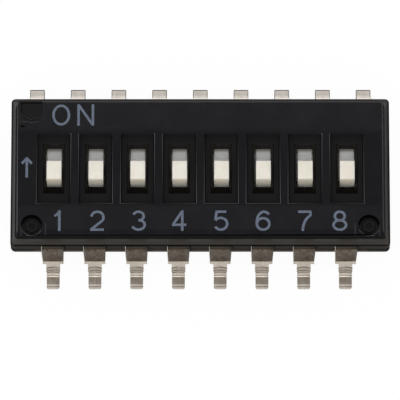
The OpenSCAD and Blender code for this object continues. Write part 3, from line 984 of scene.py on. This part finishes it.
# %% Round the rims of the cover
RIMS = (  # name, height, width and steps of the bevel, how bright its painted highlight is or SHADED for painted shade, which edges
    ("outline", FACE_Z, 0.05, 2, 1.0,
     lambda a, b: outlines(a, b, LEDGE_W) and not (in_mark(a) and in_mark(b))),
    ("right rims of the pockets", FACE_Z, 0.04, 2, 1.0, lambda a, b: side_of_pocket(a, b, 1)),
    ("left rims of the pockets", FACE_Z, 0.04, 2, 0.95, lambda a, b: side_of_pocket(a, b, -1)),
    ("front rims of the pockets", FACE_Z, 0.036, 2, 0.75, lambda a, b: both_at(a, b, POCKET_Y[0])),
    ("rear rims of the pockets", FACE_Z, 0.02, 1, 0.0, lambda a, b: both_at(a, b, POCKET_Y[1])),
    ("front of the recesses", FACE_Z, 0.04, 2, 0.8,
     lambda a, b: on_recess(a, b) and a.y + b.y < 2 * POST_Y - 0.5),
    ("rear of the recesses", FACE_Z, 0.03, 2, 0.0, on_recess),
    ("slot rims", SLOT_RIM_Z, 0.025, 1, 0.5, lambda a, b: beside_slot(a) and beside_slot(b)),
    ("rear of the ledge", LEDGE_Z, 0.02, 1, 0.0, lambda a, b: both_at(a, b, DEPTH / 2)),
    ("front of the ledge", LEDGE_Z, 0.045, 2, SHADED, lambda a, b: both_at(a, b, -DEPTH / 2)),
    ("ledge, ends and corners", LEDGE_Z, 0.07, 3, SHADED,
     lambda a, b: outlines(a, b, 0) and not near(a.y, b.y)),
    ("parting edge", SEAM_Z, 0.03, 2, 0.0, lambda a, b: outlines(a, b, 0)))
with editing(cover):
    for name, z, width, steps, rim, test in RIMS:
        print(name, pick_edges(cover, lambda a, b: level(a, b, z) and test(a, b)), "edges")
        bevel(width, steps, rim)
shade(cover)
report(cover)

# %% [markdown]
# ## The base
#
# Nearly all of the base is hidden, and the engineer's model already has its channels, its
# pad recesses and the grooves that the leads are clamped in, so there is no sense in making
# it again. Its mesh comes as loose triangles: a copy is merged and its flat faces dissolved
# back into whole ones. Then it gets what the moulding has and the model doesn't: rounded
# edges, a fine groove round the rim, and softened heads on the two posts.

# %% Copy the base and merge its triangles
base = bpy.data.objects.new("base_shell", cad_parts["base"].data.copy())
base.data.name = base.name
bpy.context.collection.objects.link(base)
with editing(base):
    bpy.ops.mesh.select_all(action="SELECT")
    bpy.ops.mesh.remove_doubles(threshold=1e-7)
    bpy.ops.mesh.dissolve_limited(angle_limit=math.radians(1))
report(base)

# %% Soften it
GROOVE = 0.07  # how deep the groove is
BELLY_Z, BELLY_INSET = 0.2, 0.68  # the underside, and how far it is drawn in from the rim
HEAD_Z = 3.58  # the heads of the posts

combine(base, ring("groove", *GROOVE_Z, GROOVE), "DIFFERENCE")
with editing(base):
    for name, z, inset, width in (("rim top", SEAM_Z, 0, 0.03), ("rim foot", RIM_Z, 0, 0.05),
                                  ("underside", BELLY_Z, BELLY_INSET, 0.06)):
        found = pick_edges(base, lambda a, b: level(a, b, z) and outlines(a, b, inset))
        print(name, found, "edges")
        bevel(width, 2)
    on_post = lambda p: round_post(p, POST_R, 0.01)
    is_head = lambda a, b: level(a, b, HEAD_Z) and on_post(a) and on_post(b)
    print("post heads", pick_edges(base, is_head), "edges")
    bevel(0.03, 2)
shade(base)
report(base)

# %% [markdown]
# ## The sliders
#
# A slider is one white moulding: a flat carriage with two wings that run under the cover's
# rails, a stem through the slot, and a knob for a fingernail. It grows out of one block: the
# wing plate is sliced lengthwise, its middle pulled up into the stem, the front of the stem
# pulled up again into the knob, and the knob's front pulled out over the stop. The eight
# are alike, so one is made and the rest are copies.

# %% Grow a slider out of its wing plate
LEAN = 0.02  # every slider stands this far to the right in its slot
CARRIAGE_Y, CARRIAGE_Z = (-0.25, 2.125), (1.75, 2.10)
TOE_Z, WING_X = 2.43, 0.85
STAKE_R, STAKE_Z, STAKE_Y = 0.14, 1.61, 0.9375  # the stake below that holds the bridge

slider = block("slider", (FIRST_X - WING_X, CARRIAGE_Y[0], CARRIAGE_Z[0]),
               (FIRST_X + WING_X, CARRIAGE_Y[1], CARRIAGE_Z[1]))
with editing(slider):
    slice_all_at(x=FIRST_X - KNOB_X)
    slice_all_at(x=FIRST_X + KNOB_X)
    pick_faces(slider, lambda c, n: n.z > 0.9 and abs(c.x - FIRST_X) < KNOB_X)
    extrude(z=STEM_Z - CARRIAGE_Z[1])
    slice_all_at(y=KNOB_Y[1])
    pick_faces(slider, lambda c, n: n.z > 0.9 and c.z > STEM_Z - 0.01 and c.y < KNOB_Y[1])
    extrude(z=KNOB_Z - STEM_Z)
    slice_all_at(z=TOE_Z)
    pick_faces(slider, lambda c, n: n.y < -0.9 and c.z > TOE_Z)
    extrude(y=KNOB_Y[0] - CARRIAGE_Y[0])
stake = rod("stake", FIRST_X, STAKE_Y, STAKE_R, STAKE_Z, CARRIAGE_Z[0] + 0.1, 24)
combine(slider, stake, "UNION")
report(slider)

# %% Round its edges and copy it
EDGES = (  # name, width and steps of the bevel, which edges
    ("knob top", 0.035, 3, lambda a, b: level(a, b, KNOB_Z)),
    ("knob sides", 0.02, 2, lambda a, b: min(a.z, b.z) > TOE_Z - 0.01 and max(a.z, b.z) > STEM_Z + 0.01),
    ("carriage", 0.015, 1,
     lambda a, b: max(a.z, b.z) < STEM_Z + 0.01 and min(a.z, b.z) > CARRIAGE_Z[0] - 0.01))
with editing(slider):
    for name, width, steps, test in EDGES:
        print(name, pick_edges(slider, test, 60), "edges")
        bevel(width, steps)
shade(slider)
report(slider)
sliders = [copy_to(slider, f"slider_knob_{n}", (n - 1) * PITCH + LEAN) for n in SWITCHES]
bpy.data.objects.remove(slider)

# %% [markdown]
# ## The leads
#
# Each terminal is one strip of tinned brass. Inside, its end is the pad that the bridge
# slides on. It rises up the wall, crosses the rim between base and cover, and outside it
# drops to the board in a gull's wing. A press tool makes all that with straight pulls and
# round bends, and so do we: the end face of the strip is extruded for each straight and spun
# round a centre for each bend. Where the strip gets narrower at once, its end face is sliced
# and only the middle goes on.

# %% A strip that is pulled and bent
class Strip:
    """A strip that leaves from the middle of the part towards the rear (+1) or the front (-1).

    run and z say how far out and how high the middle of its end face is.
    """

    def __init__(self, name, toward, x, start, z, width, length=LEAD_T, height=LEAD_T):
        self.toward, self.x, self.width = toward, x, width
        near_y, far_y = sorted((toward * start, toward * (start + length)))
        self.obj = block(name, (x - width / 2, near_y, z), (x + width / 2, far_y, z + height))
        only(self.obj)
        bpy.ops.object.mode_set(mode="EDIT")
        if length > height:
            self.heading, self.run, self.z = 0.0, start + length, z + height / 2
            pick_faces(self.obj, lambda c, n: n.y * toward > 0.9)
        else:
            self.heading, self.run, self.z = math.pi / 2, start + length / 2, z + height
            pick_faces(self.obj, lambda c, n: n.z > 0.9)

    def ahead(self, length, turn=0.0):
        """How far a length goes outwards and upwards, at an angle to the way the strip heads."""
        angle = self.heading + turn
        return length * math.cos(angle), length * math.sin(angle)

    def straight(self, length, width=None, jog=0.0):
        """Pull the end face ahead, aside by jog, and stretch it to a new width."""
        out, up = self.ahead(length)
        extrude(jog, self.toward * out, up)
        self.run, self.z, self.x = self.run + out, self.z + up, self.x + jog
        if width:
            end = [v * MM for v in (self.x, self.toward * self.run, self.z)]
            bpy.ops.transform.resize(value=(width / self.width, 1, 1), center_override=end)
            self.width = width

    def bend(self, degrees, radius, steps=6):
        """Up by a positive angle or down by a negative one, round an inner radius."""
        turn = math.radians(degrees)
        side = math.copysign(math.pi / 2, turn)
        out, up = self.ahead(radius + LEAD_T / 2, side)
        run, z = self.run + out, self.z + up
        bpy.ops.mesh.spin(steps=steps, angle=-self.toward * turn, axis=(1, 0, 0),
                          center=(self.x * MM, self.toward * run * MM, z * MM))
        self.heading += turn
        out, up = self.ahead(radius + LEAD_T / 2, -side)
        self.run, self.z = run + out, z + up

    def is_end(self, centre, normal):
        """Is a face part of the end face?"""
        out, up = self.ahead(1.0)
        slack = LEAD_T / 2 + 0.01
        return (near(centre.y * self.toward, self.run, slack) and near(centre.z, self.z, slack)
                and normal.y * self.toward * out + normal.z * up > 0.95)

    def narrow(self, width):
        """Leave the outer parts of the end face behind."""
        for side in (-1, 1):
            pick_faces(self.obj, self.is_end)
            slice_at(x=self.x + side * width / 2)
        pick_faces(self.obj, lambda c, n: self.is_end(c, n) and abs(c.x - self.x) < width / 2)
        self.width = width

    def done(self):
        bpy.ops.object.mode_set(mode="OBJECT")
        return self.obj


# %% Shape of the gull wing, shared by front and rear
BEND_R, FOOT_R = 0.1, 0.12  # inner radii at the rim and at the foot
LEAD_Z = SEAM_Z - LEAD_T  # underside of a lead where it lies on the rim
KNEE = 45  # the slope's angle, in degrees
EAR_L, NECK_L, FOOT_L = 0.12, 0.52, 0.72  # below its knee a front lead has ears, then a neck
SLOPE_L = (KNEE_Z - FOOT_R - LEAD_T) / math.cos(math.radians(KNEE))
SEAM_END = 0.06  # the straight at each end of the way across the rim
SHOULDER_TOP, SHOULDER_FOOT, NECK_W, FOOT_W = 1.36, 1.27, 0.84, 0.78  # widths of a front lead
REAR_W = 0.9
PAD_W, PAD_Z = 1.2, 1.1


def gull_wing(strip, knee_w, neck_w=None, foot_w=None):
    """From the rim to the board; a front lead gets narrower at its neck and at its foot."""
    strip.bend(-90, BEND_R)
    strip.straight(LEAD_Z - BEND_R - KNEE_Z, knee_w)
    strip.bend(KNEE, FOOT_R, 4)
    strip.straight(EAR_L)
    if neck_w:
        strip.narrow(neck_w)
    strip.straight(NECK_L)
    if foot_w:
        strip.narrow(foot_w)
    strip.straight(SLOPE_L - EAR_L - NECK_L)
    strip.bend(90 - KNEE, FOOT_R, 4)
    strip.straight(FOOT_L)
    return strip.done()


def pad_and_riser(name, toward, x, pad_start):
    length = INNER_D - LEAD_T - BEND_R - pad_start
    strip = Strip(name, toward, x, pad_start, PAD_Z, PAD_W, length=length)
    strip.bend(90, BEND_R)
    strip.straight(LEAD_Z - BEND_R - PAD_Z - LEAD_T - BEND_R)
    return strip


def across_rim(strip, width, jog=0.0):
    """Over the rim of the base: square ends, and between them a slant to the lead's own place."""
    strip.bend(-90, BEND_R)
    strip.straight(SEAM_END)
    strip.straight(LEG_D - BEND_R - INNER_D - BEND_R - 2 * SEAM_END, width, jog)
    strip.straight(SEAM_END)
    return strip


def press(obj, toward, corner):
    """Round the corners of the foot, then take the sharpness off every stamped edge."""
    tip = LEG_D + FOOT_R + LEAD_T + SLOPE_L * math.sin(math.radians(KNEE)) + FOOT_L
    at_tip = lambda a, b: near(a.x, b.x) and near(a.y, b.y) and near(a.y * toward, tip, 0.01)
    with editing(obj):
        print("foot corners", pick_edges(obj, at_tip))
        bevel(corner, 4)
    modify(obj, "stamped edge", "BEVEL", width=0.022 * MM, segments=2, limit_method="ANGLE",
           angle_limit=math.radians(50))
    shade(obj)
    report(obj)
    return obj


# %% Front leads
front_pad = -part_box("front_terminal_1")[1].y / MM
front = across_rim(pad_and_riser("front lead", -1, FIRST_X, front_pad), SHOULDER_TOP, FRONT_SHIFT)
front_lead = press(gull_wing(front, SHOULDER_FOOT, NECK_W, FOOT_W), -1, 0.12)
front_leads = [copy_to(front_lead, f"front_lead_{n}", (n - 1) * PITCH) for n in SWITCHES]
bpy.data.objects.remove(front_lead)

# %% [markdown]
# The rear leads keep one width. Their pads stand at the pitch of the sliders and their feet a
# little closer together, so each crosses the rim at a slant of its own and is pulled by
# itself. The ninth has no pad: a short stub in the base only holds it.

# %% Rear leads
rear_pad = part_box("rear_terminal_1")[0].y / MM
rear_leads = []
for n in SWITCHES:
    strip = pad_and_riser(f"rear_lead_{n}", 1, switch_x(n), rear_pad)
    across_rim(strip, REAR_W, jog=rear_x(n) - switch_x(n))
    rear_leads.append(press(gull_wing(strip, REAR_W), 1, 0.05))
STUB_W, STUB_L = 0.5, 0.8
stub_z = LEAD_Z - BEND_R - STUB_L
stub = Strip("rear_lead_9", 1, rear_x(9), INNER_D - LEAD_T, stub_z, STUB_W, height=STUB_L)
rear_leads.append(press(gull_wing(across_rim(stub, REAR_W), REAR_W), 1, 0.05))

# %% [markdown]
# ## The print
#
# The word ON and the numbers 1 to 8 are pad-printed in a blue-grey ink, with one even stroke
# and blunt ends. Each character is drawn as the path of a pen: a curve object whose bevel
# gives it the width of the stroke. It is turned into a mesh, pressed flat to the thickness
# of ink, and set on the moulded top. An arrow at the left points to the ON side.

# %% Pen strokes
STROKE = 0.165


def arc(x, y, rx, ry, start, end, steps=14):
    """Points along part of an ellipse, in degrees."""
    turns = [math.radians(start + (end - start) * i / steps) for i in range(steps + 1)]
    return [(x + rx * math.cos(t), y + ry * math.sin(t)) for t in turns]


HALF = STROKE / 2  # an upright runs this far past a level stroke's middle
# Each character stands on y = 0 and starts at x = 0, in millimetres along the pen's path. The
# pen is lifted at every sharp corner, so that no stroke gets thin there.
STROKES = {
    "1": [[(0.0, 0.9), (0.1, 0.93)] + arc(0.02, 1.24, 0.27, 0.3, -70, -12, 6)[1:],
          [(0.3, 1.24), (0.3, -HALF)]],
    "2": [arc(0.38, 0.79, 0.37, 0.36, 172, -38) + [(0.02, 0.02)], [(-0.05, 0.0), (0.77, 0.0)]],
    "3": [arc(0.36, 0.87, 0.32, 0.28, 160, -90), arc(0.36, 0.31, 0.38, 0.31, 90, -160)],
    "4": [[(0.56, -HALF), (0.56, 1.15 + HALF)], [(0.54, 1.16), (0.01, 0.33)], [(-0.06, 0.31), (0.8, 0.31)]],
    "5": [[(0.7, 1.15), (0.06, 1.15)], [(0.11, 1.15), (0.05, 0.6)], arc(0.37, 0.38, 0.39, 0.38, 146, -150)],
    "6": [arc(0.42, 0.73, 0.38, 0.42, 35, 95, 6) + arc(0.44, 0.5, 0.44, 0.65, 100, 180, 8)
          + arc(0.38, 0.37, 0.38, 0.37, 178, 540, 22)],
    "7": [[(0.0, 1.15), (0.81, 1.15)], [(0.75, 1.12)] + arc(1.0, -HALF, 0.72, 1.06, 110, 180, 10)],
    "8": [arc(0.39, 0.87, 0.3, 0.28, 90, 450, 24), arc(0.39, 0.3, 0.38, 0.3, 90, 450, 24)],
    "O": [arc(0.47, 0.605, 0.47, 0.605, 90, 450, 32)],
    "N": [[(0.0, -HALF), (0.0, 1.21 + HALF)], [(0.02, 1.23), (0.85, -0.02)],
          [(0.87, -HALF), (0.87, 1.21 + HALF)]],
    "arrow": [[(0.0, 0.9), (0.33, 1.27)], [(0.27, 1.27), (0.6, 0.9)], [(0.3, 1.2), (0.3, 0.0)]],
}


def write(character, centre, foot):
    """Draw a character, press it flat, and set it on the top, its foot at y = foot."""
    strokes = STROKES[character]
    width = max(x for stroke in strokes for x, y in stroke)
    name = f"print_{character}"
    path = bpy.data.curves.new(name, "CURVE")
    path.dimensions, path.bevel_depth, path.bevel_resolution = "3D", STROKE / 2 * MM, 2
    path.use_fill_caps = True
    for stroke in strokes:
        closed = stroke[0][0] == stroke[-1][0] and abs(stroke[0][1] - stroke[-1][1]) < 1e-6
        points = stroke[:-1] if closed else stroke
        spline = path.splines.new("POLY")
        spline.use_cyclic_u = closed
        spline.points.add(len(points) - 1)
        for point, (x, y) in zip(spline.points, points):
            point.co = ((x - width / 2) * MM, y * MM, 0, 1)
    obj = bpy.data.objects.new(name, path)
    bpy.context.collection.objects.link(obj)
    only(obj)
    bpy.ops.object.convert(target="MESH")
    obj = bpy.context.object
    obj.scale = (1, 1, INK / STROKE)
    obj.location = (centre * MM, foot * MM, (FACE_Z + INK / 2) * MM)
    settle()
    return obj


NUMBER_X = (-8.675, -6.22, -3.73, -1.25, 1.25, 3.8, 6.32, 8.43)  # not quite in step with the knobs
NUMBER_FOOT = -3.95
PLACES = [("O", -8.455, 2.835), ("N", -6.965, 2.84)]
PLACES += [(str(n), x, NUMBER_FOOT) for n, x in zip(SWITCHES, NUMBER_X)]
PLACES += [("arrow", -10.52, -0.6)]
letters = [write(character, x, foot) for character, x, foot in PLACES]
print("characters:", [obj.name for obj in letters])

# %% [markdown]
# ## Put it together
#
# Every piece now gets its finish, stands in for its engineer's piece and rides on a body.
# The bridges are right as they are and only need their gilt.

# %% Finish, stand-in and body of every piece
def fit(obj, finish, slot, body, *nodes):
    finish.paint(obj)
    if nodes:
        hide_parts(*nodes)
    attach(obj, body)


fit(cover, top_plastic, "cover_plastic", "housing", "cover")
fit(base, low_plastic, "base_plastic", "housing", "base")
for n, obj in zip(SWITCHES, sliders):
    fit(obj, white, "slider_plastic", f"slider_{n}", f"slider_{n}")
for n, obj in enumerate(front_leads, 1):
    fit(obj, tin, "terminal_tin", "housing", f"front_terminal_{n}")
for n, obj in enumerate(rear_leads, 1):
    fit(obj, tin, "terminal_tin", "housing", f"rear_terminal_{n}")
for obj in letters:
    fit(obj, ink, "cover_plastic", "housing")
for n in SWITCHES:
    gold.paint(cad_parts[f"contact_bridge_{n}"])

# %% The finished box
low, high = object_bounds()
print("finished box, mm:  ", [round(v / MM, 3) for v in (*low, *high)])
